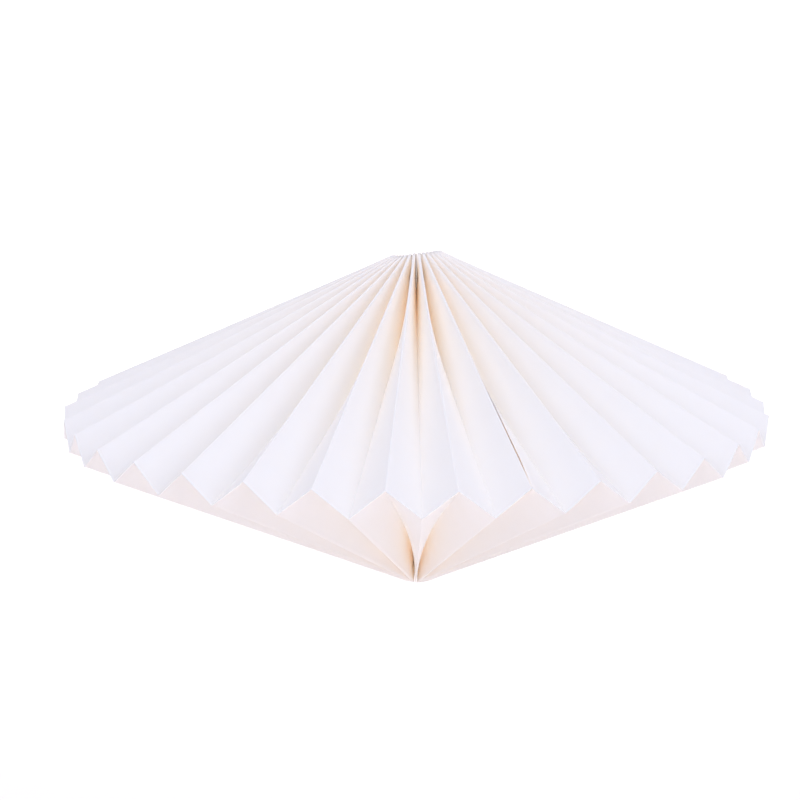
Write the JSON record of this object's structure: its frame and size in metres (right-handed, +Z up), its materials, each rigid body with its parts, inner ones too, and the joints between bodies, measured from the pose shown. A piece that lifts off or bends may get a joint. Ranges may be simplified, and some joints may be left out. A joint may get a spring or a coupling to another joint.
{
  "type": "pleated paper lantern",
  "caption": "Flat double-cone hanging lantern folded from one pleated strip of white paper, with a zigzag rim, gathered by a drawstring at the crown and at the foot.",
  "frame": {"origin": "the hanging point: the middle of the crown's top, in the plane of the ridge ends", "axes": "+Z up along the lantern's axis; -Y is the side seen from the front; +X to the right"},
  "size_m": [0.4, 0.4, 0.1927],
  "materials": {
    "paper": "matt, slightly fibrous, a little light passes through",
    "tape": "cream double-sided tape",
    "string": "twisted off-white cotton"
  },
  "bodies": {
    "upper_half": {"upper_gore_1": "paper", "upper_gore_2": "paper", "upper_gore_3": "paper", "upper_gore_4": "paper", "upper_gore_5": "paper", "upper_gore_6": "paper", "upper_gore_7": "paper", "seam_flap_upper": "paper", "seam_tape_upper": "tape", "crown_drawstring": "string", "crown_knot": "string"},
    "lower_half": {"lower_gore_1": "paper", "lower_gore_2": "paper", "lower_gore_3": "paper", "lower_gore_4": "paper", "lower_gore_5": "paper", "lower_gore_6": "paper", "lower_gore_7": "paper", "seam_flap_lower": "paper", "seam_tape_lower": "tape", "foot_drawstring": "string", "foot_knot": "string"}
  },
  "joints": [
    {"name": "height_squeeze", "type": "slide", "parent": "upper_half", "child": "lower_half", "axis": [0, 0, 1], "range_m": [0, 0.06], "stiffness_N_per_m": 15, "deforming": ["upper_gore_1", "upper_gore_2", "upper_gore_3", "upper_gore_4", "upper_gore_5", "upper_gore_6", "upper_gore_7", "seam_flap_upper", "seam_tape_upper", "lower_gore_1", "lower_gore_2", "lower_gore_3", "lower_gore_4", "lower_gore_5", "lower_gore_6", "lower_gore_7", "seam_flap_lower", "seam_tape_lower"]}
  ]
}
